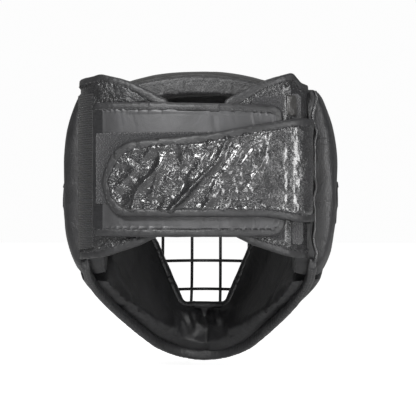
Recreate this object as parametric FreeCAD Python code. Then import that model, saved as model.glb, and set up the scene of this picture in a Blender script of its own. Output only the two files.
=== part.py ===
"""Boxing headgear with a wire face cage, built as separate solids, one STEP file per sub-part.

Frame: millimetres, +Z up, +Y out of the face, +X to the wearer's right. The origin is the centre of the head
cavity, level with the top of the ears, where the wearer's head sits.

The padded shell is a ring of six pads (forehead, two sides, two cheeks, chin) and a crown pad. Each pad is a
leather cover, a foam core and an inner lining. Two thin leather wings close the back of the head. A wide rear
panel is hinged on the left wing and laps over the right one, and a tapered strap sewn at the right-hand corner
laps back over the panel, held by hook and loop.
"""
import FreeCAD
import Part

import math
import os

Vector = FreeCAD.Vector
Z_AXIS = Vector(0, 0, 1)

# ---- driving dimensions -------------------------------------------------------------------------------------
# Head-shaped sections: height, outer half width, outer front, inner half width, inner front.
SHELL_STATIONS = [
    (-162, 43, 92, 26, 68),
    (-128, 63, 108, 38, 81),
    (-97, 80.5, 116, 55, 90),
    (-66, 100.5, 119, 72, 95),
    (-40, 112, 121, 81, 98),
    (0, 119.5, 124, 85, 100),
    (40, 119.5, 125, 85, 101),
    (75, 114, 121, 82, 97),
    (101, 103, 108, 75, 87),
    (130, 88, 90, 62, 72),
]
OUTER_REAR = 128
INNER_REAR = 106
FRONT_POWER = 2.0  # superellipse power of the front half of a section
REAR_POWER = 2.5
SECTION_POINTS = 24

COVER = 1.6  # leather cover of a pad
LINING = 1.4
PLY_GAP = 0.2  # between the plies of one pad
BODY_GAP = 0.4  # between pieces of different bodies

SHELL_TOP = 101
SHELL_REAR = -62  # plane where the side pads end and the wings begin
NAPE_Z = -46
JAW_CORNER = (62, -126)  # y, z where the jaw line begins to level out
CHIN_BOTTOM = (104, -147.5)
BIG = 400

JAW_BINDING = (3.5, 9.5)  # inside the outer surface
JAW_BINDING_DROP = 4.8

FOREHEAD_HALF_ANGLE = 29  # from straight ahead
CHIN_HALF_ANGLE = 20
CHEEK_SEAM = ((95, 6), (-62, -72))  # y, z of two points on the side-to-cheek seam

BROW_Z = 33
FACE_HALF_WIDTH = 66
FACE_CORNER_R = 18
MOUTH_Z = -94
MOUTH_HALF_WIDTH = 23
NOSE_LEVEL = (48, -33)

EAR_CENTRE = (-4, 0)  # y, z
EAR_RADIUS = 24
EAR_SLEEVE = 1.8  # how far the sleeve's inner face stands inside the hole
VENT_OUT = 92.5  # outer face of the vent panel, from the middle of the head
VENT = 3.0

CROWN_RADIUS = 220
CROWN_TOP = 119
CROWN_THICKNESS = 16.5
CROWN_REAR = -52

BINDING = 6.5  # width of the sewn edge binding
BINDING_PROUD = 0.9  # how far a binding stands off each face of its sheet

# Plan view of the back of the head: a nearly flat arc and two corner arcs, offset for each layer.
BACK_RADIUS = 230
BACK_CENTRE_Y = 126
CORNER_RADIUS = 40
CORNER_X = 51.2
BACK_SHIFT = -4  # the closure pulls the back of the shell a little to the wearer's left
WING = 3.2
WING_SHOULDERS = {-1: (106.5, 107.5), 1: (101.5, 109)}  # height at the corner and at the peak
WING_PATCH = (3.3, 4.5)
ELASTIC = (3.3, 5.4)
TAG = (4.6, 5.8)
PANEL_HOOK = (4.9, 5.9)
PANEL = (6.0, 10.2)
PANEL_LOOP = (10.3, 11.4)
STRAP_HOOK = (11.8, 12.8)
STRAP_IN = 13.0
STRAP = 3.4
STRAP_CORNER_RADIUS = 30
STRAP_CORNER_X = 64.6

PANEL_LEFT = -81.5
PANEL_RIGHT = 71
PANEL_BOTTOM = -22.5
PANEL_TOP = 83
STRAP_HINGE_Y = -75
STRAP_ROOT_GAP = 1.0

WIRE = 3.0
RIM_WIRE = 4.0
WELD = 0.4  # how deep crossing wires sink into each other
WIRE_LEVELS = [  # height, half width, side y, middle y, of each horizontal wire; the first and last are rims
    (50, 56, 113, 131),
    (33.5, 67, 108.5, 141),
    (4.5, 74, 104, 150),
    (-24.5, 74, 102, 153),
    (-53.5, 68, 100, 152),
    (-82, 57, 98, 146),
    (-106, 48, 95, 119.5),
]
WIRE_COLUMNS = (-43.5, -14.5, 14.5, 43.5)

RIM_ARC_SHARE = 0.8  # how much of a rim bar is one arc before the corner begins

SCREW_RADIUS = 2.0
SCREW_HEAD_RADIUS = 4.2
NUT_DEPTH = 15  # below the cover
CLIP_WIDTH = 12
CLIP_THICKNESS = 1.5
CLIP_LIFT = 0.6  # clearance between a clip's strap and the curved cover
CLIP_PLACES = [  # pad, angle from straight ahead and height of the screw, where the rim wire is from there
    ("forehead", -13.6, 66, "rim below"),
    ("forehead", 13.6, 66, "rim below"),
    ("left_cheek", -43, -40, "rim ahead"),
    ("right_cheek", 43, -40, "rim ahead"),
    ("chin", 0, -122, "rim above"),
]


# ---- general helpers ----------------------------------------------------------------------------------------
def wire_through(points):
    """A closed wire of straight edges."""
    corners = [Vector(*p) for p in points]
    return Part.makePolygon(corners + corners[:1])


def prism(points, direction):
    """A closed outline extruded along a direction."""
    return Part.Face(wire_through(points)).extrude(Vector(*direction))


def box(low, high):
    size = [h - l for l, h in zip(low, high)]
    return Part.makeBox(*size, Vector(*low))


def common_of(first, *others):
    for other in others:
        first = first.common(other)
    return first


def largest(shape):
    return max(shape.Solids, key=lambda solid: solid.Volume)


def mirrored(shape):
    return shape.mirror(Vector(0, 0, 0), Vector(1, 0, 0))


def rounded_outline(corners):
    """Face in the XZ plane with straight sides and rounded corners. corners: (x, z, radius)."""
    edges = []
    ends = []
    count = len(corners)
    for i, (x, z, radius) in enumerate(corners):
        here = Vector(x, 0, z)
        before = Vector(corners[i - 1][0], 0, corners[i - 1][1]) - here
        after = Vector(corners[(i + 1) % count][0], 0, corners[(i + 1) % count][1]) - here
        before.normalize()
        after.normalize()
        if radius == 0:
            ends.append((here, here))
            continue
        half = before.getAngle(after) / 2
        reach = radius / math.tan(half)
        start = here + before * reach
        end = here + after * reach
        bisector = before + after
        bisector.normalize()
        middle = here + bisector * (radius / math.sin(half) - radius)
        edges.append((i, Part.Arc(start, middle, end).toShape()))
        ends.append((start, end))
    arcs = dict(edges)
    chain = []
    for i in range(count):
        if i in arcs:
            chain.append(arcs[i])
        start, end = ends[i][1], ends[(i + 1) % count][0]
        if (end - start).Length > 1e-6:
            chain.append(Part.makeLine(start, end))
    return Part.Face(Part.Wire(chain))


def through_y(face, y_from, y_to):
    """A face in the XZ plane extruded along Y between two planes."""
    moved = face.translated(Vector(0, y_from, 0))
    return moved.extrude(Vector(0, y_to - y_from, 0))


def eased_run(points, bend):
    """Edges along straight runs joined by tangent arcs. bend: share of the shorter run used by an arc."""
    corners = [Vector(*p) for p in points]
    edges = []
    start = corners[0]
    for before, here, after in zip(corners, corners[1:], corners[2:]):
        back = before - here
        on = after - here
        reach = bend * min(back.Length, on.Length)
        back.normalize()
        on.normalize()
        half = back.getAngle(on) / 2
        arc_radius = reach * math.tan(half)
        bisector = back + on
        bisector.normalize()
        middle = here + bisector * (arc_radius / math.sin(half) - arc_radius)
        edges.append(Part.makeLine(start, here + back * reach))
        edges.append(Part.Arc(here + back * reach, middle, here + on * reach).toShape())
        start = here + on * reach
    edges.append(Part.makeLine(start, corners[-1]))
    return edges


def tube(edges, radius):
    """A round wire swept along a path of edges."""
    path = Part.Wire(edges)
    first = edges[0]
    start = first.valueAt(first.FirstParameter)
    profile = Part.Wire(Part.makeCircle(radius, start, first.tangentAt(first.FirstParameter)))
    return path.makePipeShell([profile], True, False)


# ---- the padded shell ---------------------------------------------------------------------------------------
def section(z, half_width, front, rear):
    """Closed head-shaped section: superellipse halves that share their widest points."""
    points = []
    for i in range(SECTION_POINTS):
        angle = 2 * math.pi * i / SECTION_POINTS
        c, s = math.cos(angle), math.sin(angle)
        power = FRONT_POWER if s >= 0 else REAR_POWER
        depth = front if s >= 0 else rear
        x = half_width * math.copysign(abs(c) ** (2 / power), c)
        y = depth * math.copysign(abs(s) ** (2 / power), s)
        points.append(Vector(x, y, z))
    curve = Part.BSplineCurve()
    curve.interpolate(points, PeriodicFlag=True)
    return Part.Wire(curve.toShape())


def head_solid(inward, from_inner=False):
    """The solid inside the shell's outer surface, or its inner one, moved inward by a distance."""
    wires = []
    for z, outer_width, outer_front, inner_width, inner_front in SHELL_STATIONS:
        if from_inner:
            wires.append(section(z, inner_width - inward, inner_front - inward, INNER_REAR - inward))
        else:
            wires.append(section(z, outer_width - inward, outer_front - inward, OUTER_REAR - inward))
    return Part.makeLoft(wires, True, False)


def below_jaw(drop):
    """Everything below the shell's lower edge, seen from the side, moved down by a distance."""
    outline = [
        (-BIG, -BIG, -BIG),
        (-BIG, -BIG, NAPE_Z - drop),
        (-BIG, SHELL_REAR, NAPE_Z - drop),
        (-BIG, JAW_CORNER[0], JAW_CORNER[1] - drop),
        (-BIG, CHIN_BOTTOM[0], CHIN_BOTTOM[1] - drop),
        (-BIG, BIG, CHIN_BOTTOM[1] - drop),
        (-BIG, BIG, -BIG),
    ]
    return prism(outline, (2 * BIG, 0, 0))


def face_outline(grow):
    """The face opening, seen from the front, widened by a distance."""
    side = FACE_HALF_WIDTH + grow
    nose_x = NOSE_LEVEL[0] + grow
    mouth = MOUTH_HALF_WIDTH + grow
    right = [
        (side, BROW_Z + grow, FACE_CORNER_R + grow),
        (side, -4, 12),
        (nose_x, NOSE_LEVEL[1], 20),
        (mouth, MOUTH_Z - grow, 8 + grow),
    ]
    left = [(-x, z, r) for x, z, r in reversed(right)]
    return rounded_outline(right + left)


def wedge(half_angle):
    """A vertical wedge about straight ahead."""
    reach = BIG * math.tan(math.radians(half_angle))
    return prism([(0, 0, -BIG), (reach, BIG, -BIG), (-reach, BIG, -BIG)], (0, 0, 2 * BIG))


def below_cheek_seam():
    (y1, z1), (y2, z2) = CHEEK_SEAM
    slope = (z1 - z2) / (y1 - y2)
    front = z1 + slope * (BIG - y1)
    back = z2 - slope * (BIG + y2)
    outline = [(-BIG, -BIG, back), (-BIG, BIG, front), (-BIG, BIG, -BIG), (-BIG, -BIG, -BIG)]
    return prism(outline, (2 * BIG, 0, 0))


def ear_hole(radius, x_from, x_to):
    return Part.makeCylinder(radius, x_to - x_from, Vector(x_from, *EAR_CENTRE), Vector(1, 0, 0))


def ring_trim(inset):
    """The room between the ring's edges, with every edge moved in by a distance."""
    room = box((-BIG, SHELL_REAR + inset, -BIG), (BIG, BIG, SHELL_TOP - inset))
    return room.cut(below_jaw(-inset)).cut(through_y(face_outline(inset), 20, BIG))


def ring_layers():
    """The cover, foam and lining of the whole ring. The cover also wraps the foam's edges."""
    inside_cover = head_solid(COVER).common(ring_trim(COVER))
    behind_lining = head_solid(-LINING - PLY_GAP, True)
    outside_lining = head_solid(0, True)
    return {
        "cover": head_solid(0).common(ring_trim(0)).cut(inside_cover).cut(behind_lining),
        "foam": head_solid(COVER + PLY_GAP).cut(behind_lining).common(ring_trim(COVER + PLY_GAP)),
        "lining": head_solid(-LINING, True).cut(outside_lining).common(ring_trim(0)),
    }


def ring_pads(layer):
    """One layer of the ring, split at the seams into its six pads."""
    low = below_cheek_seam()
    lower = layer.common(low)
    upper = layer.cut(low)
    forehead = wedge(FOREHEAD_HALF_ANGLE)
    chin = wedge(CHIN_HALF_ANGLE)
    left = box((-BIG, -BIG, -BIG), (0, BIG, BIG))
    sides = upper.cut(forehead).cut(ear_hole(EAR_RADIUS, -BIG, BIG))
    cheeks = lower.cut(chin)
    left_side = sides.common(left)
    left_cheek = cheeks.common(left)
    return {
        "forehead": upper.common(forehead),
        "left_side": left_side,
        "right_side": mirrored(left_side),
        "left_cheek": left_cheek,
        "right_cheek": mirrored(left_cheek),
        "chin": lower.common(chin),
    }


def jaw_edge():
    """The binding under the shell's lower edge, a little inside its outer surface."""
    ring = head_solid(JAW_BINDING[0]).cut(head_solid(JAW_BINDING[1]))
    strip = below_jaw(PLY_GAP).cut(below_jaw(JAW_BINDING_DROP))
    return common_of(ring, strip, box((-BIG, SHELL_REAR, -BIG), (BIG, BIG, BIG)))


def face_binding():
    """The bound edge inside the face opening."""
    ring = head_solid(-6, True).cut(head_solid(1.2, True))
    frame = through_y(face_outline(-PLY_GAP), 20, BIG).cut(through_y(face_outline(-3.4), 19, BIG + 1))
    return ring.common(frame)


def ear_fittings():
    """The left ear recess: its leather sleeve, the vent panel across it, and the eyelets in the panel's holes."""
    tube = ear_hole(EAR_RADIUS - PLY_GAP, -BIG, 0).cut(ear_hole(EAR_RADIUS - EAR_SLEEVE, -BIG, 0))
    sleeve = tube.common(head_solid(0)).cut(head_solid(0, True))
    panel = ear_hole(EAR_RADIUS - EAR_SLEEVE - PLY_GAP, -VENT_OUT, -VENT_OUT + VENT)
    eyelets = []
    for i in range(5):
        angle = math.radians(90 + 72 * i)
        y = EAR_CENTRE[0] + 12 * math.cos(angle)
        z = EAR_CENTRE[1] + 12 * math.sin(angle)
        centre = Vector(-VENT_OUT - 0.7, y, z)
        along = Vector(1, 0, 0)
        panel = panel.cut(Part.makeCylinder(3.6, 10, centre - along * 2, along))
        barrel = Part.makeCylinder(3.5, VENT + 1.2, centre, along)
        flange = Part.makeCylinder(5.2, 0.6, centre, along)
        bore = Part.makeCylinder(2.6, 10, centre - along * 2, along)
        eyelets.append(barrel.fuse(flange).cut(bore))
    return {"ear_sleeve": sleeve, "ear_vent": panel, "ear_eyelets": Part.makeCompound(eyelets)}


def crown_pads():
    """Cover, foam and lining of the domed crown pad, which sits in the ring's top opening."""
    centre = Vector(0, 10, CROWN_TOP - CROWN_RADIUS)

    def cap(depth):
        return Part.makeSphere(CROWN_RADIUS - depth, centre)

    outline = head_solid(BODY_GAP, True).common(box((-BIG, CROWN_REAR, 60), (BIG, BIG, BIG)))
    lining_from = CROWN_THICKNESS - LINING
    layers = {
        "cover": cap(0).cut(cap(COVER)),
        "foam": cap(COVER + PLY_GAP).cut(cap(lining_from - PLY_GAP)),
        "lining": cap(lining_from).cut(cap(CROWN_THICKNESS)),
    }
    pads = {name: layer.common(outline) for name, layer in layers.items()}
    edge_from = box((-BIG, CROWN_REAR - 4.5, 60), (BIG, CROWN_REAR - PLY_GAP, BIG))
    edge_outline = head_solid(BODY_GAP, True).common(edge_from)
    pads["binding"] = cap(-1).cut(cap(CROWN_THICKNESS - 4)).common(edge_outline)
    return pads


# ---- wings, rear panel and strap ----------------------------------------------------------------------------
def back_curve(offset, corner_x, corner_radius):
    """Plan-view edges of the back of the head, left to right, at an offset outside the wings' inner face."""
    flat = BACK_RADIUS + offset
    corner_y = BACK_CENTRE_Y - math.sqrt((BACK_RADIUS - CORNER_RADIUS) ** 2 - CORNER_X ** 2)
    if corner_x != CORNER_X:
        reach = BACK_RADIUS + STRAP_IN - STRAP_CORNER_RADIUS
        corner_y = BACK_CENTRE_Y - math.sqrt(reach ** 2 - corner_x ** 2)
    back_centre = Vector(0, BACK_CENTRE_Y, 0)
    corner = Vector(corner_x, corner_y, 0)
    out = corner - back_centre
    out.normalize()
    tangent = back_centre + out * flat
    halfway = out + Vector(1, 0, 0)
    halfway.normalize()
    bend = corner + halfway * corner_radius
    side = corner + Vector(corner_radius, 0, 0)
    front = Vector(side.x, -30, 0)

    def flip(p):
        return Vector(-p.x, p.y, p.z)

    back = Vector(0, BACK_CENTRE_Y - flat, 0)
    return [
        Part.makeLine(flip(front), flip(side)),
        Part.Arc(flip(side), flip(bend), flip(tangent)).toShape(),
        Part.Arc(flip(tangent), back, tangent).toShape(),
        Part.Arc(tangent, bend, side).toShape(),
        Part.makeLine(side, front),
    ]


def band(inner, outer, corner_x=CORNER_X, corner_radius=CORNER_RADIUS):
    """The U-shaped layer between two offsets of the back curve, behind the side pads."""
    inside = back_curve(inner, corner_x, corner_radius + inner)
    outside = back_curve(outer, corner_x, corner_radius + outer)
    ends = [
        Part.makeLine(inside[0].Vertexes[0].Point, outside[0].Vertexes[0].Point),
        Part.makeLine(inside[-1].Vertexes[-1].Point, outside[-1].Vertexes[-1].Point),
    ]
    edges = Part.__sortEdges__(inside + outside + ends)
    slab = Part.Face(Part.Wire(edges)).extrude(Vector(0, 0, 2 * BIG)).translated(Vector(0, 0, -BIG))
    shifted = slab.translated(Vector(BACK_SHIFT, 0, 0))
    return shifted.common(box((-BIG, -BIG, -BIG), (BIG, SHELL_REAR - PLY_GAP, BIG)))


def cut_out(layer, outline):
    """The part of a layer that lies inside an outline seen from behind."""
    return layer.common(through_y(outline, -200, -30))


def wing_outline(side, inset):
    """A wing, seen from behind, with its top, bottom and tip moved in by a distance. side: -1 left, 1 right."""
    shoulder, peak = WING_SHOULDERS[side]
    corners = [
        (110, shoulder - 1.5 - inset, 0),
        (84, shoulder - inset, 0),
        (77, peak - inset, 3),
        (54, 101.5 - inset, 60),
        (22 + inset, 85 - inset, 4),
        (22 + inset, -18 + inset, 4),
        (44, -29 + inset, 60),
        (72, -38.5 + inset, 60),
        (110, -44.5 + inset, 0),
    ]
    return rounded_outline([(side * x, z, r) for x, z, r in corners])


def wing(side):
    """A wing's leather and the binding sewn round its edges."""
    sheet = band(0, WING)
    bound = band(-BINDING_PROUD, WING + BINDING_PROUD)
    leather = cut_out(sheet, wing_outline(side, BINDING + PLY_GAP))
    edge = cut_out(bound, wing_outline(side, 0)).cut(through_y(wing_outline(side, BINDING), -200, -30))
    return leather, edge


def elastic_strip():
    """The ribbed elastic at the left corner, from the side pad to the panel's seam."""
    outline = rounded_outline([
        (-110, -37, 0), (-110, 93, 0), (PANEL_LEFT - 0.6, 93, 0), (PANEL_LEFT - 0.6, -31.5, 0),
    ])
    return cut_out(band(*ELASTIC), outline)


def wing_patch():
    """The loop patch on the right wing, under the panel's free end."""
    outline = rounded_outline([(44, -20.5, 4), (44, 88, 4), (84, 93, 4), (86, -31, 4)])
    return cut_out(band(*WING_PATCH), outline)


def panel_outline(inset):
    return rounded_outline([
        (PANEL_LEFT, PANEL_BOTTOM + inset, 0),
        (PANEL_LEFT, PANEL_TOP + 1 - inset, 0),
        (PANEL_RIGHT - 3 - inset, PANEL_TOP - 2 - inset, 8 - inset * 0.8),
        (PANEL_RIGHT - inset, PANEL_BOTTOM + inset, 12 - inset),
    ])


def rear_panel():
    """The wide rear panel: leather, edge binding, outer loop field and inner hook patch."""
    low, high = PANEL
    frame = through_y(panel_outline(0), -200, -30).cut(through_y(panel_outline(BINDING), -201, -29))
    loop = rounded_outline([(PANEL_LEFT + 0.8, 3, 2), (PANEL_LEFT + 0.8, 60, 2), (44, 60, 2), (44, 3, 2)])
    hook = rounded_outline([(45, -10, 3), (45, 68, 3), (60, 68, 3), (60, -10, 3)])
    return {
        "rear_panel": cut_out(band(low, high), panel_outline(BINDING + PLY_GAP)),
        "rear_panel_binding": band(low - BINDING_PROUD, high + BINDING_PROUD).common(frame),
        "rear_panel_loop_field": cut_out(band(*PANEL_LOOP), loop),
        "rear_panel_hook_patch": cut_out(band(*PANEL_HOOK), hook),
    }


def strap_outline(inset):
    """The tapered strap, seen from behind: round tip at the left, widest at its root."""
    return rounded_outline([
        (130, 73 - inset, 0),
        (80, 71 - inset, 60),
        (10, 57.5 - inset, 150),
        (-64 + inset, 51 - inset, 26 - inset),
        (-76 + inset, 22, 26 - inset),
        (-68 + inset, -6.8 + inset, 20 - inset),
        (56, -6.8 + inset, 60),
        (82, -11 + inset, 30),
        (130, -11 + inset, 0),
    ])


def strap():
    """The closure strap, its binding and hook patch, which peel, and the root sewn at the right corner."""
    def layer(inner, outer):
        return band(inner, outer, STRAP_CORNER_X, STRAP_CORNER_RADIUS - STRAP_IN)

    moving = box((-BIG, -BIG, -BIG), (BIG, STRAP_HINGE_Y, BIG))
    fixed = box((80, STRAP_HINGE_Y + STRAP_ROOT_GAP, -BIG), (BIG, BIG, BIG))
    no_left_leg = box((-90, -BIG, -BIG), (BIG, BIG, BIG))
    leather = layer(STRAP_IN, STRAP_IN + STRAP)
    bound = layer(STRAP_IN - 0.6, STRAP_IN + STRAP + BINDING_PROUD)
    frame = through_y(strap_outline(0), -200, -30).cut(through_y(strap_outline(BINDING), -201, -29))
    hook = rounded_outline([(-56, 8, 10), (-56, 42, 10), (30, 44, 3), (30, 8, 3)])
    return {
        "closure_strap": common_of(cut_out(leather, strap_outline(BINDING + PLY_GAP)), moving, no_left_leg),
        "closure_strap_binding": common_of(bound, frame, moving, no_left_leg),
        "closure_strap_hook_patch": cut_out(band(*STRAP_HOOK), hook),
        "closure_strap_root": common_of(cut_out(leather, strap_outline(0)), fixed),
    }


def blank_tag():
    """A small plain folded tab sewn on the loop patch, above the strap and beside the panel."""
    outline = rounded_outline([(71.6, 74, 1), (71.6, 90.5, 1), (80, 90, 1), (80, 74, 1)])
    return cut_out(band(*TAG), outline)


# ---- the face cage ------------------------------------------------------------------------------------------
def level_arc(level):
    """The plan-view circle of a horizontal wire: centre y and radius."""
    z, half_width, side_y, middle_y = level
    sagitta = middle_y - side_y
    radius = (half_width ** 2 + sagitta ** 2) / (2 * sagitta)
    return middle_y - radius, radius


def level_row(level):
    """A horizontal wire: one arc, swept."""
    z, half_width, side_y, middle_y = level
    ends = Vector(-half_width, side_y, z), Vector(half_width, side_y, z)
    return tube([Part.Arc(ends[0], Vector(0, middle_y, z), ends[1]).toShape()], WIRE / 2)


def cage_rim():
    """The closed rim: an arc across the top and bottom, joined by eased runs down the sides."""
    arcs = []
    sides = []
    for level in (WIRE_LEVELS[0], WIRE_LEVELS[-1]):
        z, half_width = level[:2]
        centre_y, radius = level_arc(level)
        reach = half_width * RIM_ARC_SHARE
        y = centre_y + math.sqrt(radius ** 2 - reach ** 2)
        corner_y = y - reach / (y - centre_y) * (half_width - reach)
        middle = Vector(0, centre_y + radius, z)
        arcs.append(Part.Arc(Vector(-reach, y, z), middle, Vector(reach, y, z)).toShape())
        sides.append([(reach, y, z), (half_width, corner_y, z)])
    down = [(half_width, y, z) for z, half_width, y, _ in WIRE_LEVELS[1:-1]]
    right = sides[0] + down + sides[1][::-1]
    left = [(-x, y, z) for x, y, z in right][::-1]
    bottom = Part.Arc(arcs[1].valueAt(arcs[1].LastParameter), Vector(0, WIRE_LEVELS[-1][3], WIRE_LEVELS[-1][0]),
                      arcs[1].valueAt(arcs[1].FirstParameter)).toShape()
    edges = [arcs[0]] + eased_run(right, 0.45) + [bottom] + eased_run(left, 0.45)
    return tube(edges, RIM_WIRE / 2)


def cage_column(x):
    """A vertical wire, laid on the outside of the horizontal wires and welded to the rim at both ends."""
    step = WIRE - WELD
    points = []
    for level in WIRE_LEVELS:
        centre_y, radius = level_arc(level)
        points.append((x, centre_y + math.sqrt(radius ** 2 - x ** 2) + step, level[0]))
    for end in (0, -1):
        px, py, pz = points[end]
        points[end] = (px, py - step, pz)
    return tube(eased_run(points, 0.4), WIRE / 2)


def cage():
    """Rim, horizontal wires and vertical wires of the welded cage."""
    rim = cage_rim()
    rows = Part.makeCompound([largest(level_row(level).cut(rim)) for level in WIRE_LEVELS[1:-1]])
    columns = Part.makeCompound([largest(cage_column(x).cut(rim).cut(rows)) for x in WIRE_COLUMNS])
    return rim, rows, columns


def surface_frame(outer, angle, z):
    """Point on the shell's outer surface at an angle from straight ahead, with its normal and plan tangent."""
    def touch(turn, height):
        turn = math.radians(turn)
        ray = Part.makeLine(Vector(0, 0, height), Vector(BIG * math.sin(turn), BIG * math.cos(turn), height))
        inside = ray.common(outer)
        return max((v.Point for v in inside.Vertexes), key=lambda p: p.Length)

    point = touch(angle, z)
    across = touch(angle - 2, z) - touch(angle + 2, z)
    up = touch(angle, z + 3) - touch(angle, z - 3)
    normal = across.cross(up) * -1
    normal.normalize()
    if normal.dot(point) < 0:
        normal = normal * -1
    return point, normal


def slab(origin, along, across, rise, corners, width):
    """An outline given along and above a surface, extruded evenly to both sides."""
    points = [origin + along * a + rise * b - across * (width / 2) for a, b in corners]
    return Part.Face(Part.makePolygon(points + points[:1])).extrude(across * width)


def clip(base, normal, along, across, rim, drill):
    """A flat strap held by a screw, rolled round the rim wire at its end."""
    half = CLIP_THICKNESS / 2
    cut = Part.Face(Part.makePolygon([
        base - normal * 6, base + normal * 24, base + normal * 24 + along * 26,
        base - normal * 6 + along * 26, base - normal * 6,
    ])).common(rim)
    hold = cut.CenterOfMass - base
    run, rise = hold.dot(along), hold.dot(normal)
    bore = RIM_WIRE / 2 + 0.15
    start = base + along * run + normal * rise - across * (CLIP_WIDTH / 2)
    roll = Part.makeCylinder(bore + CLIP_THICKNESS, CLIP_WIDTH, start, across)
    hole = Part.makeCylinder(bore, CLIP_WIDTH + 2, start - across, across)
    strap_piece = slab(base, along, across, normal, [(-6, -half), (run, -half), (run, half), (-6, half)], CLIP_WIDTH)
    web_end = run - bore
    web = [(web_end - CLIP_THICKNESS, half), (run, half), (run, rise), (web_end - CLIP_THICKNESS, rise)]
    solid = strap_piece.fuse([roll, slab(base, along, across, normal, web, CLIP_WIDTH)])
    return solid.cut(hole).cut(drill).cut(rim).removeSplitter()


def fasteners(rim):
    """Clips round the rim, their screws and washers, the tee nuts inside the foam, and the room they need."""
    outer = head_solid(0)
    sets = {"cage_clips": [], "clip_screws": [], "clip_washers": [], "clip_tee_nuts": []}
    rooms = {}
    for pad, angle, z, way in CLIP_PLACES:
        point, normal = surface_frame(outer, angle, z)
        tangent = Z_AXIS.cross(normal)
        tangent.normalize()
        upward = normal.cross(tangent)
        along = {"rim below": upward * -1, "rim above": upward, "rim ahead": tangent * math.copysign(1, angle)}[way]
        across = normal.cross(along)
        base = point + normal * (CLIP_LIFT + CLIP_THICKNESS / 2)
        drill = Part.makeCylinder(SCREW_RADIUS + 0.1, 60, point - normal * 30, normal)
        sets["cage_clips"].append(clip(base, normal, along, across, rim, drill))
        top = base + normal * (CLIP_THICKNESS / 2)
        sets["clip_washers"].append(Part.makeCylinder(5, 0.8, top, normal).cut(drill))
        head = Part.makeCylinder(SCREW_HEAD_RADIUS, 1.8, top + normal * 0.8, normal)
        shank = Part.makeCylinder(SCREW_RADIUS, 18, top - normal * 17, normal)
        slot = slab(top, across, along, normal, [(-5, 1.8), (5, 1.8), (5, 3), (-5, 3)], 1.1)
        sets["clip_screws"].append(head.fuse(shank).cut(slot))
        seat = point - normal * NUT_DEPTH
        nut = Part.makeCylinder(3.4, 7, seat, normal).fuse(Part.makeCylinder(8, 1.2, seat, normal))
        sets["clip_tee_nuts"].append(nut.cut(Part.makeCylinder(SCREW_RADIUS + 0.05, 40, seat - normal * 10, normal)))
        room = drill.fuse([
            Part.makeCylinder(3.6, 7.2, seat, normal),
            Part.makeCylinder(8.2, 1.6, seat - normal * 0.2, normal),
        ])
        rooms[pad] = rooms[pad].fuse(room) if pad in rooms else room
    return {name: Part.makeCompound(shapes) for name, shapes in sets.items()}, rooms


# ---- build and export ---------------------------------------------------------------------------------------
def all_nodes():
    nodes = {}
    rim, rows, columns = cage()
    fixings, rooms = fasteners(rim)
    for layer, solid in ring_layers().items():
        for pad, piece in ring_pads(solid).items():
            nodes[f"{pad}_{layer}"] = piece.cut(rooms[pad]) if pad in rooms else piece
    for layer, piece in crown_pads().items():
        nodes[f"crown_{layer}"] = piece
    nodes["jaw_binding"] = jaw_edge()
    nodes["face_opening_binding"] = face_binding()
    for name, piece in ear_fittings().items():
        nodes["left_" + name] = piece
        nodes["right_" + name] = mirrored(piece)
    nodes["left_wing"], nodes["left_wing_binding"] = wing(-1)
    nodes["right_wing"], nodes["right_wing_binding"] = wing(1)
    nodes["elastic_strip"] = elastic_strip()
    nodes["right_wing_loop_patch"] = wing_patch()
    nodes["blank_tag"] = blank_tag()
    nodes.update(rear_panel())
    nodes.update(strap())
    nodes.update({"cage_rim": rim, "cage_rows": rows, "cage_columns": columns})
    nodes.update(fixings)
    return nodes


os.makedirs("parts", exist_ok=True)
for name, shape in all_nodes().items():
    solids = shape.Solids
    if not solids or not shape.isValid():
        raise ValueError(f"{name} has {len(solids)} solids")
    whole = solids[0] if len(solids) == 1 else Part.makeCompound(solids)
    print(f"{name:26s} {len(solids):2d} solids {whole.Volume / 1000:8.2f} cm3")
    whole.exportStep(os.path.join("parts", name + ".step"))
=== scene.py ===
import math

import bpy
import numpy as np
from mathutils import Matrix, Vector, noise
from mathutils.bvhtree import BVHTree


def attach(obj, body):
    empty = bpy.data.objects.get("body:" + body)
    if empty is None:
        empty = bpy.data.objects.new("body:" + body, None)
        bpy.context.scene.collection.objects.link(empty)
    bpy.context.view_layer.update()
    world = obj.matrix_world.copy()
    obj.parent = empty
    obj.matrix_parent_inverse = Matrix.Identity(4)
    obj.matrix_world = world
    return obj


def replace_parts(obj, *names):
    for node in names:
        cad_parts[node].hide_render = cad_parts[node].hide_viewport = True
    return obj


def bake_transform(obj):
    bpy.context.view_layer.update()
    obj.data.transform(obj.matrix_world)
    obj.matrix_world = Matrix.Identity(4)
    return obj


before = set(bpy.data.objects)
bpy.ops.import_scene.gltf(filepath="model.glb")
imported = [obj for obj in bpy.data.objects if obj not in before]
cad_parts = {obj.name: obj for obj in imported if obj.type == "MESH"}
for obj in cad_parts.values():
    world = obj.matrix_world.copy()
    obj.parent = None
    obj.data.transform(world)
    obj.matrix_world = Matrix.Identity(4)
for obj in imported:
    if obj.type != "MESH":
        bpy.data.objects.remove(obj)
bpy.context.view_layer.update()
bpy.ops.object.select_all(action="DESELECT")
scene = bpy.context.scene


# ---- Studio --------------------------------------------------------------------------------------
# White paper lies under the head guard in a white room. Both show brighter than the light they
# cast. A soft light stands above the camera, a tall one to its right picks out the strap's bend, a
# low one reaches the chin, and one overhead lights the crown.
def brighter_when_seen(tree, socket, cast, seen):
    """Set a strength to one value for the light it casts, and to another for what shows."""
    path = tree.nodes.new("ShaderNodeLightPath")
    strength = tree.nodes.new("ShaderNodeMapRange")
    strength.inputs["To Min"].default_value = cast
    strength.inputs["To Max"].default_value = seen
    tree.links.new(path.outputs["Is Camera Ray"], strength.inputs["Value"])
    tree.links.new(strength.outputs["Result"], socket)


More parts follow.
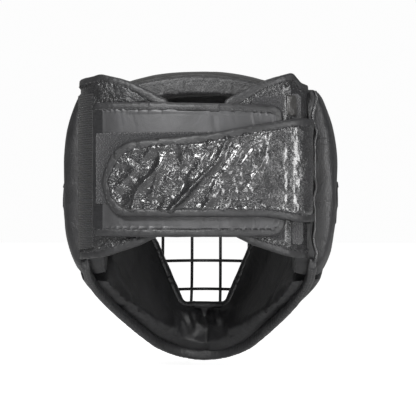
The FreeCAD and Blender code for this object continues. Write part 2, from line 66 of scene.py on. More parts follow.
paper = bpy.data.materials.new("white_paper")
paper.use_nodes = True
paper_shader = paper.node_tree.nodes["Principled BSDF"]
paper_shader.inputs["Base Color"].default_value = (0.82, 0.82, 0.82, 1)
paper_shader.inputs["Roughness"].default_value = 0.9
paper_shader.inputs["Emission Color"].default_value = (1, 1, 1, 1)
brighter_when_seen(paper.node_tree, paper_shader.inputs["Emission Strength"], 0.04, 0.78)

PAPER_Z = -0.1545  # a little below the chin
bpy.ops.mesh.primitive_plane_add(size=8, location=(0, 0, PAPER_Z))
sweep = bpy.context.object
sweep.name = "paper_sweep"
sweep.data.materials.append(paper)

world = bpy.data.worlds.new("pale_room")
world.use_nodes = True
room = world.node_tree.nodes["Background"]
room.inputs["Color"].default_value = (1, 1, 1, 1)
brighter_when_seen(world.node_tree, room.inputs["Strength"], 0.26, 0.98)
scene.world = world
scene.view_settings.view_transform = "Standard"


def soft_light(name, place, aim, size, height, power):
    bpy.ops.object.light_add(type="AREA", location=place)
    lamp = bpy.context.object
    lamp.name = name
    lamp.data.shape = "RECTANGLE"
    lamp.data.size = size
    lamp.data.size_y = height
    lamp.data.energy = power
    lamp.rotation_euler = (Vector(aim) - Vector(place)).to_track_quat("-Z", "Y").to_euler()


soft_light("key_light", (-0.25, -1.05, 0.52), (0, -0.1, 0.02), 0.22, 0.22, 11)
soft_light("side_light", (0.95, -0.85, 0.12), (0.08, -0.08, 0), 0.14, 0.55, 7)
soft_light("low_light", (0.06, -1.1, -0.2), (0, 0.06, -0.08), 0.16, 0.16, 7)
soft_light("top_light", (-0.1, -0.05, 1.2), (0, 0, 0), 0.8, 0.8, 3.8)

CAMERA_PLACE = Vector((0.035, -0.9994, 0))
CAMERA_AIM = Vector((0.0062, 0, 0))
bpy.ops.object.camera_add(location=CAMERA_PLACE)
camera = bpy.context.object
camera.name = "camera"
camera.data.lens = 97.7
camera.data.sensor_width = 36
camera.rotation_euler = (CAMERA_AIM - CAMERA_PLACE).to_track_quat("-Z", "Y").to_euler()
scene.camera = camera


# ---- Padded ring and crown -----------------------------------------------------------------------
# Six pads ring the head and a domed one covers the crown. Each is a cushion of closed-cell foam in
# black leather, backed with a thin soft lining and sewn shut along its edges, so it swells between
# its seams. The cheeks and the chin share one lining, and make one cushion.
def new_finish(name):
    """A material, its node tree, its shader, and the place on the piece that its patterns read."""
    made = bpy.data.materials.new(name)
    made.use_nodes = True
    tree = made.node_tree
    place = tree.nodes.new("ShaderNodeTexCoord").outputs["Object"]
    return made, tree, tree.nodes["Principled BSDF"], place


def pattern(tree, place, kind, **sockets):
    """A texture over the piece. An underscore in a socket's name stands for a space."""
    texture = tree.nodes.new(f"ShaderNodeTex{kind}")
    for socket, value in sockets.items():
        texture.inputs[socket.replace("_", " ")].default_value = value
    tree.links.new(place, texture.inputs["Vector"])
    return texture


def together(tree, fine, share, coarse):
    """A share of a fine pattern, added to a coarse one."""
    both = tree.nodes.new("ShaderNodeMath")
    both.operation = "MULTIPLY_ADD"
    both.inputs[1].default_value = share
    tree.links.new(fine, both.inputs[0])
    tree.links.new(coarse, both.inputs[2])
    return both.outputs[0]


def raised(tree, height, distance, strength=1.0, over=None):
    """The normal of a surface that a pattern raises, over another such normal."""
    bump = tree.nodes.new("ShaderNodeBump")
    bump.inputs["Strength"].default_value = strength
    bump.inputs["Distance"].default_value = distance
    tree.links.new(height, bump.inputs["Height"])
    if over:
        tree.links.new(over, bump.inputs["Normal"])
    return bump.outputs["Normal"]


def shade(colour, share):
    return [part * share for part in colour] + [1]


def tint(tree, shader, value, dark, light, start=0.0, end=1.0):
    """Colour that runs from dark to light as a pattern's value goes from start to end."""
    ramp = tree.nodes.new("ShaderNodeValToRGB")
    ramp.color_ramp.elements[0].position = start
    ramp.color_ramp.elements[0].color = dark
    ramp.color_ramp.elements[1].position = end
    ramp.color_ramp.elements[1].color = light
    tree.links.new(value, ramp.inputs["Fac"])
    tree.links.new(ramp.outputs["Color"], shader.inputs["Base Color"])


def vary_shine(tree, shader, value, shiny, dull, start=0.0, end=1.0):
    """Roughness that runs from shiny to dull as a pattern's value goes from start to end."""
    span = tree.nodes.new("ShaderNodeMapRange")
    span.inputs["From Min"].default_value = start
    span.inputs["From Max"].default_value = end
    span.inputs["To Min"].default_value = shiny
    span.inputs["To Max"].default_value = dull
    tree.links.new(value, span.inputs["Value"])
    tree.links.new(span.outputs["Result"], shader.inputs["Roughness"])


def leather(name, colour, dull, grain, depth, creases, crease_depth, coat=0.0):
    """Black leather: pebbled grain, soft creases (each a count per metre), and a varied finish. Its
    colour is painted darker in the creases' hollows and lighter on their crests: painted shade and
    painted highlight.
    """
    made, tree, shader, place = new_finish(name)
    shader.inputs["Coat Weight"].default_value = coat
    shader.inputs["Coat Roughness"].default_value = 0.18
    cells = pattern(tree, place, "Voronoi", Scale=grain)
    cells.feature = "SMOOTH_F1"
    cells.inputs["Smoothness"].default_value = 0.6
    pores = pattern(tree, place, "Noise", Scale=grain * 2.3, Detail=3)
    folds = pattern(tree, place, "Noise", Scale=creases, Detail=5, Roughness=0.55, Distortion=1.2)
    pebbles = together(tree, pores.outputs["Fac"], 0.35, cells.outputs["Distance"])
    fine = raised(tree, pebbles, depth, 0.8)
    broad = raised(tree, folds.outputs["Fac"], crease_depth, 0.9, over=fine)
    tree.links.new(broad, shader.inputs["Normal"])
    # Painted shade and highlight: the colour follows the creases' height, darker in their hollows
    # and lighter on their crests.
    tint(tree, shader, folds.outputs["Fac"], shade(colour, 0.65), shade(colour, 1.5), 0.3, 0.75)
    vary_shine(tree, shader, pores.outputs["Fac"], dull - 0.07, dull + 0.09, 0.3, 0.7)
    return made


def alone(piece):
    bpy.ops.object.select_all(action="DESELECT")
    piece.select_set(True)
    bpy.context.view_layer.objects.active = piece


def cut_from(name, *nodes):
    """The plies of one sewn piece, copied from their CAD solids and merged into a new object."""
    copies = []
    for node in nodes:
        ply = bpy.data.objects.new(name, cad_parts[node].data.copy())
        scene.collection.objects.link(ply)
        ply.data.materials.clear()
        copies.append(ply)
    alone(copies[0])
    for ply in copies:
        ply.select_set(True)
    if len(copies) > 1:
        bpy.ops.object.join()
    piece = bpy.context.view_layer.objects.active
    piece.name = name
    bpy.ops.object.mode_set(mode="EDIT")
    bpy.ops.mesh.select_all(action="SELECT")
    bpy.ops.mesh.remove_doubles(threshold=1e-5)
    bpy.ops.object.mode_set(mode="OBJECT")
    return piece


def sew_shut(piece, mesh_size, easing):
    """Close the plies into one skin and ease its corners round."""
    alone(piece)
    skin = piece.modifiers.new("skin", "REMESH")
    skin.mode = "VOXEL"
    skin.voxel_size = mesh_size
    bpy.ops.object.modifier_apply(modifier="skin")
    if easing:
        ease = piece.modifiers.new("ease", "SMOOTH")
        ease.factor = 0.5
        ease.iterations = easing
        bpy.ops.object.modifier_apply(modifier="ease")


def points_of(piece):
    places = np.empty(len(piece.data.vertices) * 3, np.float32)
    piece.data.vertices.foreach_get("co", places)
    return places.reshape(-1, 3)


SWELL_FRAMES = 20  # moments of pressing


def stuff(piece, pressure, most):
    """Press the foam out against the leather, moving no point further than the most it may."""
    alone(piece)
    start = points_of(piece)
    fill = piece.modifiers.new("fill", "CLOTH")
    fill.settings.use_pressure = True
    fill.settings.uniform_pressure_force = pressure
    fill.settings.effector_weights.gravity = 0
    fill.point_cache.frame_start = 1
    fill.point_cache.frame_end = SWELL_FRAMES
    for moment in range(1, SWELL_FRAMES + 1):
        scene.frame_set(moment)
    bpy.ops.object.modifier_apply(modifier="fill")
    moves = points_of(piece) - start
    lengths = np.linalg.norm(moves, axis=1, keepdims=True)
    places = start + moves * np.minimum(1, most / np.maximum(lengths, 1e-9))
    piece.data.vertices.foreach_set("co", places.astype(np.float32).ravel())
    piece.data.update()
    scene.frame_set(1)


def refine(piece, levels=1):
    alone(piece)
    finer = piece.modifiers.new("finer", "SUBSURF")
    finer.levels = levels
    finer.render_levels = levels
    bpy.ops.object.modifier_apply(modifier="finer")


def crease(piece, relief):
    """Move every point along its normal by relief(place, normal)."""
    moves = [point.normal * relief(point.co, point.normal) for point in piece.data.vertices]
    for point, move in zip(piece.data.vertices, moves):
        point.co += move
    piece.data.update()


TUCK_FROM_Y = -0.09  # behind this plane the sheets face straight back, so their ends face sideways


def tuck(piece, reach):
    """Run a sheet's rim on by a distance, into the binding folded over it."""
    moves = []
    for point in piece.data.vertices:
        normal = point.normal
        rim = max(abs(normal.z), abs(normal.x) if point.co.y < TUCK_FROM_Y else 0)
        moves.append(normal * reach * min(max((rim - 0.35) * 3, 0), 1))
    for point, move in zip(piece.data.vertices, moves):
        point.co += move
    piece.data.update()


def dress(piece, slot, *materials, body="shell"):
    """Give a finished piece its materials and the body it moves with. The slot is not used."""
    for material in materials:
        piece.data.materials.append(material)
    piece.data.polygons.foreach_set("use_smooth", [True] * len(piece.data.polygons))
    if body:
        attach(piece, body)
    return piece


bolster_leather = leather("bolster_leather", (0.014, 0.014, 0.015), 0.42, 860, 0.0002, 38, 0.0018)
crown_leather = leather("crown_leather", (0.02, 0.0195, 0.019), 0.36, 950, 0.00012, 30, 0.0015)
lining_leather = leather("lining_leather", (0.013, 0.013, 0.014), 0.42, 1200, 0.00008, 26, 0.0016)

BOLSTER_PUCKER = 0.0011
BOLSTER_WAVE = 0.0016


def bolster_relief(place, normal):
    """Broad dents and tight puckers in soft leather over foam."""
    broad = noise.noise(place * 22) * BOLSTER_WAVE
    tight = noise.noise(Vector((place.x * 60, place.y * 60, place.z * 24)))
    return broad - max(tight - 0.15, 0) * BOLSTER_PUCKER


def tree_of(node):
    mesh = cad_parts[node].data
    return BVHTree.FromPolygons([v.co for v in mesh.vertices], [p.vertices for p in mesh.polygons])


jaw_line = tree_of("jaw_binding")
UNDERSIDE_LIFT = 0.008  # how far the pads' underside rounds up towards the lining
ROUNDING_FROM = 0.004  # the rounding starts this far inside the binding
ROUNDING_WIDTH = 0.016


def inside_binding(place):
    """How far a place under the pads lies inside the jaw's binding."""
    bound = jaw_line.find_nearest(place, 0.04)[0]
    return bound.xy.length - place.xy.length if bound else 0


def ring_relief(place, normal):
    """Leather over foam, with an underside that rounds up towards the lining."""
    lift = 0
    if normal.z < -0.1:
        rounded = min(max((inside_binding(place) - ROUNDING_FROM) / ROUNDING_WIDTH, 0), 1)
        lift = rounded ** 1.5 * UNDERSIDE_LIFT * -normal.z
    return bolster_relief(place, normal) - lift


CHIN_LOBES = ((-0.013, 0.015), (0.017, 0.013))  # middle and half width of each lobe
LOBE_MIDDLE_Z = -0.107
LOBE_HALF_HEIGHT = 0.012
LOBE_SWELL = 0.0042
LOBE_GATHER = 0.003
MIDDLE_SEAM_X = 0.002
MIDDLE_SEAM_TOP = -0.118
MIDDLE_SEAM = (0.0014, 0.0016)  # depth and half width
SIDE_SEAM = (0.0016, 0.0022)
SIDE_SEAM_SLOPE = math.tan(math.radians(20))  # the chin's outer seams, either side of the middle


def seam(aside, depth, half_width):
    return depth * math.exp(-(aside / half_width) ** 2)


def jaw_relief(place, normal):
    """Two gathered lobes in the lining under the mouth, and the chin's middle and side seams."""
    inner = max(-normal.y, 0)
    up = (place.z - LOBE_MIDDLE_Z) / LOBE_HALF_HEIGHT
    lobes = sum(math.exp(-((place.x - x) / width) ** 4 - up ** 4) for x, width in CHIN_LOBES)
    gather = noise.noise(Vector((place.x * 170 + place.z * 70, 5, place.z * 45)))
    height = ring_relief(place, normal)
    height += inner * (LOBE_SWELL * lobes + LOBE_GATHER * lobes * gather)
    if place.z < MIDDLE_SEAM_TOP:
        height -= seam(place.x - MIDDLE_SEAM_X, *MIDDLE_SEAM)
    if normal.y > 0.3:
        height -= seam(abs(place.x) - SIDE_SEAM_SLOPE * place.y, *SIDE_SEAM)
    return height


LINING_REACH = 0.006  # a face this near the lining's solid is lining, if it turns inward


def line_inside(piece, lining_nodes):
    """Give the second material to the lining, and to the underside inside the jaw's binding."""
    linings = [tree_of(node) for node in lining_nodes]
    for face in piece.data.polygons:
        place = face.center
        near = min((tree.find_nearest(place, 0.5) for tree in linings), key=lambda found: found[3])
        inward = Vector((-place.x, -place.y, 0)).normalized()
        if piece.name == "crown_pad":
            inward = Vector((0, 0, -1))
        lined = near[3] < LINING_REACH and face.normal.dot(inward) > 0.35
        if lined or face.normal.z < 0.2 and inside_binding(place) > 0.001:
            face.material_index = 1


CUSHION_MESH = 0.0042
CUSHION_EASING = 8
SWELL_ROOM = 0.0022  # each cushion starts this much smaller all round than the room it swells into
MOST_SWELL = 0.0038
PRESSURE = 4.0
cushions = {
    "forehead_pad": ("forehead",),
    "left_side_pad": ("left_side",),
    "right_side_pad": ("right_side",),
    "jaw_pad": ("left_cheek", "chin", "right_cheek"),
    "crown_pad": ("crown",),
}
reliefs = {"jaw_pad": jaw_relief, "crown_pad": bolster_relief}
for name, pads in cushions.items():
    plies = [f"{pad}_{ply}" for pad in pads for ply in ("cover", "foam", "lining")]
    cushion = cut_from(name, *plies)
    sew_shut(cushion, CUSHION_MESH, CUSHION_EASING)
    crease(cushion, lambda place, normal: -SWELL_ROOM)
    stuff(cushion, PRESSURE, MOST_SWELL)
    refine(cushion)
    crease(cushion, reliefs.get(name, ring_relief))
    crowned = name == "crown_pad"
    outside = crown_leather if crowned else bolster_leather
    dress(cushion, "smooth_leather" if crowned else "cover_leather", outside, lining_leather)
    line_inside(cushion, [f"{pad}_lining" for pad in pads])
    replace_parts(cushion, *plies)


# ---- Bindings ------------------------------------------------------------------------------------
# Strips of thin leather folded over the raw edges of the jaw, the face opening and the crown pad,
# and sewn through. Each rolls over its edge as a soft round bead.
binding_leather = leather("binding_leather", (0.016, 0.016, 0.017), 0.42, 1300, 0.00012, 90, 0.0008)
BEAD_FILL = 0.0004  # how far the cord inside a bead presses its leather out
BEAD_WAVE = 0.0002


def roll(name, node, body="shell", mesh_size=0.0012, easing=7):
    """A folded binding, from its CAD strip, with its corners rolled round."""
    bead = cut_from(name, node)
    sew_shut(bead, mesh_size, easing)
    crease(bead, lambda place, normal: BEAD_FILL + noise.noise(place * 160) * BEAD_WAVE)
    dress(bead, "binding_leather", binding_leather, body=body)
    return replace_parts(bead, node)


jaw_bead = roll("jaw_bead", "jaw_binding")
JAW_BEAD_ROOT = 0.005  # how far the bead's upper side runs up into the seam it is sewn in
for point in jaw_bead.data.vertices:
    point.co.z += JAW_BEAD_ROOT * min(max(point.normal.z * 2, 0), 1)
face_bead = roll("face_opening_bead", "face_opening_binding")
FACE_BEAD_ROOT = 0.003  # the same for the bead round the face opening, away from its middle
FACE_MIDDLE_Z = -0.03
for point in face_bead.data.vertices:
    away = Vector((point.co.x, 0, point.co.z - FACE_MIDDLE_Z)).normalized()
    point.co += away * FACE_BEAD_ROOT * min(max(point.normal.dot(away) * 2, 0), 1)
crown_bead = roll("crown_bead", "crown_binding")


# ---- Ears ----------------------------------------------------------------------------------------
# A leather sleeve lines each ear hole. Across its bottom lies a disc of firm leather with five
# plated eyelets pressed into it, so that the wearer hears and the ear is aired.
sleeve_leather = leather("sleeve_leather", (0.015, 0.015, 0.016), 0.45, 1000, 0.00015, 60, 0.001)
vent_leather = leather("vent_leather", (0.02, 0.02, 0.021), 0.38, 900, 0.0002, 50, 0.0006)

for side in ("left", "right"):
    sleeve = cut_from(f"{side}_ear_lining", f"{side}_ear_sleeve")
    sew_shut(sleeve, 0.0012, 4)
    dress(sleeve, "lining", sleeve_leather)
    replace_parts(sleeve, f"{side}_ear_sleeve")
    disc = cut_from(f"{side}_ear_disc", f"{side}_ear_vent")
    sew_shut(disc, 0.0008, 3)
    dress(disc, "smooth_leather", vent_leather)
    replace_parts(disc, f"{side}_ear_vent")


# ---- Rear wings ----------------------------------------------------------------------------------
# Two thin leather wings run back from the side pads and taper towards each other behind the head.
# The leather is glossy and lightly crumpled, with a folded binding all round.
wing_leather = leather(
    "wing_leather", (0.014, 0.014, 0.015), 0.25, 1000, 0.0003, 70, 0.0035, coat=0.25,
)


def wing_relief(place, normal):
    return noise.noise(place * 75) * 0.0005 + noise.noise(place * 190) * 0.00025


for side in ("left", "right"):
    wing = cut_from(f"{side}_wing_leather", f"{side}_wing")
    sew_shut(wing, 0.0013, 2)
    tuck(wing, 0.0026)
    crease(wing, wing_relief)
    dress(wing, "glossy_leather", wing_leather)
    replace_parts(wing, f"{side}_wing")
    roll(f"{side}_wing_bead", f"{side}_wing_binding")


# ---- Side welt -----------------------------------------------------------------------------------
# A thin leather welt covers the seam between the right wing and the side pad. It is sewn down
# along its length, and wanders where the leather gathers.
welt_leather = leather("welt_leather", (0.02, 0.02, 0.021), 0.3, 1000, 0.0002, 80, 0.0015, coat=0.3)
WELT_RADIUS = 0.0016
WELT_LENGTH = 0.142
WELT_PLACE = (0.0962, -0.0635, 0.026)
WELT_WANDER = 0.0035

bpy.ops.mesh.primitive_cylinder_add(
    vertices=12, radius=WELT_RADIUS, depth=WELT_LENGTH, location=(0, 0, 0),
)
welt = bpy.context.object
welt.name = "side_welt"
rings = welt.modifiers.new("rings", "REMESH")
rings.mode = "VOXEL"
rings.voxel_size = 0.0006
bpy.ops.object.modifier_apply(modifier="rings")
for point in welt.data.vertices:
    wander = noise.noise(Vector((3, 0, point.co.z * 70))) * WELT_WANDER
    x, y, z = WELT_PLACE
    point.co += Vector((x + wander, y - abs(wander) * 0.3, z))
welt.data.update()
dress(welt, "binding_leather", welt_leather)


# ---- Elastic, tapes and tab ----------------------------------------------------------------------
# Ribbed elastic covers the left corner between the side pad and the panel. Soft loop tape covers
# the right wing under the panel's end, with a small plain folded tab sewn on it.
def ribbed(name, colour, ribs, depth, dull):
    """Woven tape with ribs across its length, up the height of the piece."""
    made, tree, shader, place = new_finish(name)
    shader.inputs["Roughness"].default_value = dull
    shader.inputs["Sheen Weight"].default_value = 0.12
    shader.inputs["Sheen Roughness"].default_value = 0.4
    weft = pattern(tree, place, "Wave", Scale=ribs, Distortion=0.6, Detail=2, Detail_Scale=3)
    weft.bands_direction = "Z"
    yarn = pattern(tree, place, "Noise", Scale=900)
    height = together(tree, yarn.outputs["Fac"], 0.6, weft.outputs["Fac"])
    tree.links.new(raised(tree, height, depth), shader.inputs["Normal"])
    # Painted shade and highlight: the colour follows the ribs' height, darker between them and
    # lighter on their tops.
    tint(tree, shader, height, shade(colour, 0.4), shade(colour, 1.6))
    return made


def looped(name, colour):
    """Loop tape: a short dense pile over a fine knitted grid."""
    made, tree, shader, place = new_finish(name)
    shader.inputs["Roughness"].default_value = 0.85
    shader.inputs["Sheen Weight"].default_value = 0.35
    shader.inputs["Sheen Roughness"].default_value = 0.5
    loops = pattern(tree, place, "Voronoi", Scale=800)
    pile = pattern(tree, place, "Noise", Scale=1500, Detail=4)
    height = together(tree, pile.outputs["Fac"], 1, loops.outputs["Distance"])
    tree.links.new(raised(tree, height, 0.0009), shader.inputs["Normal"])
    # Painted shade and highlight: the colour follows the pile's height, darker in its hollows and
    # lighter on its tips.
    tint(tree, shader, height, shade(colour, 0.3), shade(colour, 2.2), 0.35, 1)
    return made


def slack(place, normal):
    """Long soft ripples up a piece of elastic."""
    return noise.noise(Vector((place.x * 60, place.y * 60, place.z * 30))) * 0.0004


def tufts(place, normal):
    """The uneven top of a tape's pile."""
    return noise.noise(place * 600) * 0.0003


elastic_weave = ribbed("elastic_weave", (0.013, 0.013, 0.014), 170, 0.0011, 0.7)
# A near-black ribbed finish for the panel's left end: painted shade in the groove of the hinge
# seam.
painted_seam_shade = ribbed("painted_seam_shade", (0.005, 0.005, 0.006), 300, 0.0004, 0.85)
loop_tape = looped("loop_tape", (0.011, 0.011, 0.012))

elastic = cut_from("corner_elastic", "elastic_strip")
sew_shut(elastic, 0.001, 1)
crease(elastic, slack)
dress(elastic, "woven", elastic_weave)
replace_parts(elastic, "elastic_strip")

wing_tape = cut_from("wing_loop_tape", "right_wing_loop_patch")
sew_shut(wing_tape, 0.0009, 1)
crease(wing_tape, tufts)
dress(wing_tape, "loop", loop_tape)
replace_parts(wing_tape, "right_wing_loop_patch")

tab_leather = leather("tab_leather", (0.03, 0.029, 0.028), 0.3, 700, 0.0002, 60, 0.002, coat=0.2)
tab = cut_from("blank_tab", "blank_tag")
sew_shut(tab, 0.0005, 3)
crease(tab, lambda place, normal: noise.noise(place * 130) * 0.0006)
dress(tab, "woven", tab_leather)
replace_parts(tab, "blank_tag")


# ---- Rear panel ----------------------------------------------------------------------------------
# A wide panel of smooth leather, hinged by its seam at the left corner, laps over both wings. Its
# middle carries a loop field for the strap, its edge a folded binding, and its inside a patch of
# hook tape.
panel_leather = leather("panel_leather", (0.04, 0.04, 0.042), 0.42, 1500, 0.00005, 24, 0.0008)
hook_tape = looped("hook_tape", (0.01, 0.01, 0.011))


def panel_relief(place, normal):
    """Fine upright creases, deepest towards the right-hand end where the panel bends."""
    bend = 0.35 + 0.65 * min(max((place.x + 0.02) / 0.07, 0), 1)
    upright = noise.noise(Vector((place.x * 190 + place.z * 40, 0, place.z * 14)))
    return -max(upright - 0.1, 0) * 0.0011 * bend + noise.noise(place * 30) * 0.0004


panel = cut_from("panel_leather_sheet", "rear_panel")
sew_shut(panel, 0.0013, 2)
tuck(panel, 0.0024)
crease(panel, panel_relief)
SEAM_SHADE_END = -0.0752  # the panel's end is painted near-black as far as this: painted shade in the hinge seam's groove
dress(panel, "smooth_leather", panel_leather, painted_seam_shade, body="rear_panel")
# Faces left of this are painted near-black: painted shade in the hinge seam's groove.
for face in panel.data.polygons:
    if face.center.x < SEAM_SHADE_END:
        face.material_index = 1
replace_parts(panel, "rear_panel")
panel_bead = roll("panel_bead", "rear_panel_binding", body="rear_panel")

loop_field = cut_from("panel_loop_tape", "rear_panel_loop_field")
sew_shut(loop_field, 0.0009, 1)
crease(loop_field, tufts)
dress(loop_field, "loop", loop_tape, body="rear_panel")
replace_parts(loop_field, "rear_panel_loop_field")


# ---- Closure strap -------------------------------------------------------------------------------
# The strap is sewn to the right-hand corner and laps left across the panel to a round tip. Its
# glossy leather is crumpled into slanting folds by use, inside a thick folded binding. Hook tape on
# its back grips the loop field.
strap_leather = leather(
    "strap_leather", (0.012, 0.012, 0.013), 0.24, 560, 0.0003, 95, 0.0022, coat=0.7,
)
STRAP_BEND_X = 0.06
UPRIGHT_FROM_X = 0.05  # from here to the bend the slanting folds give way to upright ones
UPRIGHT_OVER = 0.012
STRAP_FOLDS = (  # x at mid height, lean, height and half width of each slanting fold
    (-0.053, 0.9, 0.0016, 0.005), (-0.038, 0.5, 0.0026, 0.0036), (-0.028, 0.4, 0.0014, 0.0028),
    (-0.018, 0.35, 0.0024, 0.0034), (-0.004, 0.6, 0.0018, 0.0034), (0.006, 0.72, 0.0025, 0.0036),
    (0.02, 0.6, 0.0016, 0.0042), (0.034, 0.5, 0.0013, 0.0038), (0.047, 0.3, 0.001, 0.003),
)
STRAP_MIDDLE_Z = 0.025
FOLD_GAIN = 1.3
FOLD_WANDER = 0.009


def strap_relief(place, normal):
    """Slanting folds with sharp crests, upright ones at the bend, and a crumple, outside only."""
    outward = Vector((max(place.x - STRAP_BEND_X, 0) * 3, -0.05, 0)).normalized()
    facing = max(normal.dot(outward), 0) ** 0.5
    if facing < 0.05:
        return 0
    height = 0
    for order, (middle, lean, rise, width) in enumerate(STRAP_FOLDS):
        wander = noise.noise(Vector((order * 7.3, 0, place.z * 42))) * FOLD_WANDER
        aside = (place.x - middle - lean * (place.z - STRAP_MIDDLE_Z) - wander) / width
        fade = 0.85 + 0.9 * noise.noise(Vector((order * 3.1, 4, place.z * 30)))
        height += FOLD_GAIN * rise * max(fade, 0.2) * math.exp(-abs(aside) ** 1.4)
    crumple = noise.noise(place * 70) * 0.0014 + noise.noise(place * 150) * 0.0007
    crumple += noise.noise(place * 420) * 0.0003
    upright = noise.noise(Vector((place.x * 60, place.y * 60, place.z * 30))) * 0.0009
    bend = min(max((place.x - UPRIGHT_FROM_X) / UPRIGHT_OVER, 0), 1)
    return facing * (height * (1 - bend) + crumple * (1 - 0.6 * bend) + upright * bend)


strap = cut_from("strap_leather_sheet", "closure_strap", "closure_strap_root")
sew_shut(strap, 0.0014, 2)
tuck(strap, 0.0022)
refine(strap)
crease(strap, strap_relief)
dress(strap, "glossy_leather", strap_leather, body=None)
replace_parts(strap, "closure_strap", "closure_strap_root")
strap_bead = roll("strap_bead", "closure_strap_binding", body=None)


# ---- Stitching -----------------------------------------------------------------------------------
# Black bonded thread, in a row of short stitches along the inner side of every binding. One stitch
# is modelled and laid along the seams, each copy pressed a little into the leather.
thread, thread_tree, thread_shader, thread_place = new_finish("thread")
thread_shader.inputs["Roughness"].default_value = 0.5
thread_shader.inputs["Sheen Weight"].default_value = 0.3
twist = pattern(thread_tree, thread_place, "Noise", Scale=2500)
THREAD_DARK = (0.014, 0.014, 0.015, 1)
THREAD_LIGHT = (0.045, 0.045, 0.047, 1)
tint(thread_tree, thread_shader, twist.outputs["Fac"], THREAD_DARK, THREAD_LIGHT)

STITCH = (0.0025, 0.0007, 0.0005)  # length, width and height
STITCH_PITCH = 0.0036

bpy.ops.mesh.primitive_uv_sphere_add(segments=6, ring_count=4, radius=0.5)
one_stitch = bpy.context.object
bpy.ops.object.mode_set(mode="EDIT")
bpy.ops.mesh.select_all(action="SELECT")
bpy.ops.transform.rotate(value=math.pi / 2, orient_axis="Y", center_override=(0, 0, 0))
bpy.ops.transform.resize(value=STITCH, center_override=(0, 0, 0))
bpy.ops.object.mode_set(mode="OBJECT")
stitch_points = points_of(one_stitch)
stitch_faces = [tuple(face.vertices) for face in one_stitch.data.polygons]
bpy.data.objects.remove(one_stitch)


def even_steps(route, pitch):
    """Places a pitch apart along a route, with the direction of travel at each."""
    corners = [Vector(point) for point in route]
    steps = []
    carried = 0
    for start, end in zip(corners, corners[1:]):
        run = (end - start).length
        way = (end - start) / max(run, 1e-9)
        reach = carried
        while reach < run:
            steps.append((start + way * reach, way))
            reach += pitch
        carried = reach - run
    return steps


def stitch(name, pieces, routes, body="shell", cast=None):
    """A row of stitches on the nearest surface, or on the first one that a cast meets."""
    trees = [BVHTree.FromObject(piece, bpy.context.evaluated_depsgraph_get()) for piece in pieces]
    places, faces = [], []
    for route in routes:
        for spot, way in even_steps(route, STITCH_PITCH):
            if cast:
                hits = [tree.ray_cast(spot, Vector(cast), 0.2) for tree in trees]
            else:
                hits = [tree.find_nearest(spot, 0.02) for tree in trees]
            hits = [hit for hit in hits if hit[0]]
            if not hits:
                continue
            point, normal = min(hits, key=lambda hit: hit[3])[:2]
            side = normal.cross(way).normalized()
            along = side.cross(normal).normalized()
            turn = np.array([along, side, normal]).T
            middle = np.array(point + normal * STITCH[2] * 0.15)
            first = len(places) * len(stitch_points)
            places.append(stitch_points @ turn.T + middle)
            faces += [tuple(first + corner for corner in face) for face in stitch_faces]
    mesh = bpy.data.meshes.new(name)
    mesh.from_pydata(np.concatenate(places).tolist(), [], faces)
    row = bpy.data.objects.new(name, mesh)
    scene.collection.objects.link(row)
    return dress(row, "binding_leather", thread, body=body)


def smooth_route(points, rounds=3):
    """Cut the corners of a route again and again, keeping its ends."""
    corners = [Vector(point) for point in points]
    for _ in range(rounds):
        eased = [corners[0]]
        for start, end in zip(corners, corners[1:]):
            eased += [start.lerp(end, 0.25), start.lerp(end, 0.75)]
        corners = eased + [corners[-1]]
    return corners


BEHIND = -0.2
INWARD = (0, 1, 0)


def seen_behind(outline):
    """A smooth route for a row that is drawn in x and z, well behind the head guard."""
    return smooth_route([(x, BEHIND, z) for x, z in outline])


strap_edge = [
    (0.0905, 0.0655), (0.08, 0.0652), (0.05, 0.0592), (0.01, 0.0522), (-0.045, 0.0472),
    (-0.07, 0.044), (-0.0705, 0.022), (-0.0705, 0.0), (-0.045, -0.0015), (0.02, -0.0015),
    (0.056, -0.0018), (0.08, -0.0055), (0.0905, -0.0062),
]
strap_stitches = stitch(
    "strap_stitches", [strap_bead], [seen_behind(strap_edge)], body=None, cast=INWARD,
)
panel_edge = [
    (-0.08, 0.0785), (0.02, 0.0782), (0.058, 0.0758), (0.0645, 0.07), (0.066, 0.03), (0.066, -0.01),
    (0.06, -0.0172), (-0.08, -0.0172),
]
stitch("panel_stitches", [panel_bead], [seen_behind(panel_edge)], "rear_panel", INWARD)
wing_top = {
    -1: [(-0.09, 0.1012), (-0.079, 0.1022), (-0.052, 0.096), (-0.026, 0.0815)],
    1: [(0.082, 0.0975), (0.076, 0.1015), (0.052, 0.096), (0.026, 0.0815)],
}
wing_foot = [(0.088, -0.036), (0.072, -0.0328), (0.044, -0.0232), (0.026, -0.0145)]
for sign, side in ((-1, "left"), (1, "right")):
    foot = [(sign * x, z) for x, z in wing_foot]
    routes = [seen_behind(row) for row in (wing_top[sign], foot)]
    bead = bpy.data.objects[f"{side}_wing_bead"]
    stitch(f"{side}_wing_stitches", [bead], routes, "shell", INWARD)

loop_corners = [(-0.079, 0.0045), (-0.079, 0.0585), (0.0425, 0.0585), (0.0425, 0.0045)]
loop_row = [(x, BEHIND, z) for x, z in loop_corners + loop_corners[:1]]
stitch("loop_field_stitches", [loop_field], [loop_row], "rear_panel", INWARD)
elastic_edge = [(-0.0845, BEHIND, -0.03), (-0.0845, BEHIND, 0.09)]
stitch("elastic_stitches", [elastic], [elastic_edge], "shell", INWARD)

DOME_MIDDLE_Z = -0.101
DOME_RADIUS = 0.22
DOME_EDGE_BEHIND = 0.064  # how far behind the dome's middle its rear edge lies
CROWN_ROW_DROP = 0.0035
crown_row = []
for step in range(-22, 23):
    x = step * 0.002
    rise = math.sqrt(DOME_RADIUS ** 2 - DOME_EDGE_BEHIND ** 2 - x * x)
    crown_row.append((x, BEHIND, DOME_MIDDLE_Z + rise - CROWN_ROW_DROP))
stitch("crown_stitches", [crown_bead], [crown_row], "shell", INWARD)

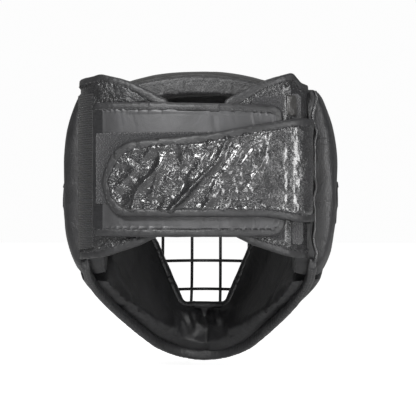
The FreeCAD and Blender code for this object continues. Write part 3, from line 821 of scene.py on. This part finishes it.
IN_FRONT = 0.2
face_right = [(0.0642, 0.0312), (0.0642, -0.004), (0.0465, -0.033), (0.0215, -0.092)]
face_row = face_right + [(-x, z) for x, z in reversed(face_right)] + face_right[:1]
face_route = smooth_route([(x, IN_FRONT, z) for x, z in face_row])
stitch("face_opening_stitches", [face_bead], [face_route], "shell", (0, -1, 0))

JAW_STEP = 3  # degrees round the head between the places that the jaw's row runs through
JAW_ROW_OFFSET = Vector((0, -0.004, -0.004))  # from the middle of the binding to its seam
jaw_bins = {}
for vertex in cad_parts["jaw_binding"].data.vertices:
    turn = round(math.degrees(math.atan2(vertex.co.x, vertex.co.y)) / JAW_STEP)
    jaw_bins.setdefault(turn, []).append(vertex.co)
jaw_row = []
for turn in sorted(jaw_bins):
    middle = sum(jaw_bins[turn], Vector()) / len(jaw_bins[turn])
    jaw_row.append(middle + JAW_ROW_OFFSET)
stitch("jaw_stitches", [jaw_bead], [smooth_route(jaw_row)], "shell")

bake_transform(strap)
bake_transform(strap_bead)
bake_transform(strap_stitches)


# ---- Face cage and hook tape ---------------------------------------------------------------------
# Round steel wire, welded where it crosses and dipped in black plastic, is held to the pads by five
# steel clips with plated screws and washers. The tee nuts sit in the foam. The solids of these, of
# the ear eyelets and of the hook tape behind the strap and panel are shown as they were designed,
# each with its own finish.
def coated(name, colour, dull):
    """Dipped plastic over steel: nearly smooth, a little uneven where it ran, with colour painted
    darker in the runs' dips and lighter on their tops as painted shade and highlight.
    """
    made, tree, shader, place = new_finish(name)
    runs = pattern(tree, place, "Noise", Scale=260, Detail=3)
    tree.links.new(raised(tree, runs.outputs["Fac"], 0.0004), shader.inputs["Normal"])
    # Painted shade and highlight: the colour follows the runs' height, darker in their dips and
    # lighter on their tops.
    tint(tree, shader, runs.outputs["Fac"], shade(colour, 0.7), shade(colour, 1.5))
    vary_shine(tree, shader, runs.outputs["Fac"], dull - 0.08, dull + 0.12)
    return made


def plated(name, colour):
    """Zinc plating: metal, as uneven as the dipped coat, with the same painted shade and highlight,
    but brighter.
    """
    made = coated(name, colour, 0.3)
    made.node_tree.nodes["Principled BSDF"].inputs["Metallic"].default_value = 1
    return made


wire_coat = coated("wire_coat", (0.008, 0.008, 0.009), 0.34)
clip_coat = coated("clip_coat", (0.014, 0.014, 0.015), 0.4)
zinc = plated("zinc_plate", (0.45, 0.45, 0.46))

finishes = {
    "cage_rim": wire_coat, "cage_rows": wire_coat, "cage_columns": wire_coat,
    "cage_clips": clip_coat, "clip_screws": zinc, "clip_washers": zinc, "clip_tee_nuts": zinc,
    "left_ear_eyelets": zinc, "right_ear_eyelets": zinc,
    "rear_panel_hook_patch": hook_tape, "closure_strap_hook_patch": hook_tape,
}
for node, finish in finishes.items():
    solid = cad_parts[node]
    solid.data.materials.clear()
    solid.data.materials.append(finish)
    solid.data.polygons.foreach_set("use_smooth", [False] * len(solid.data.polygons))
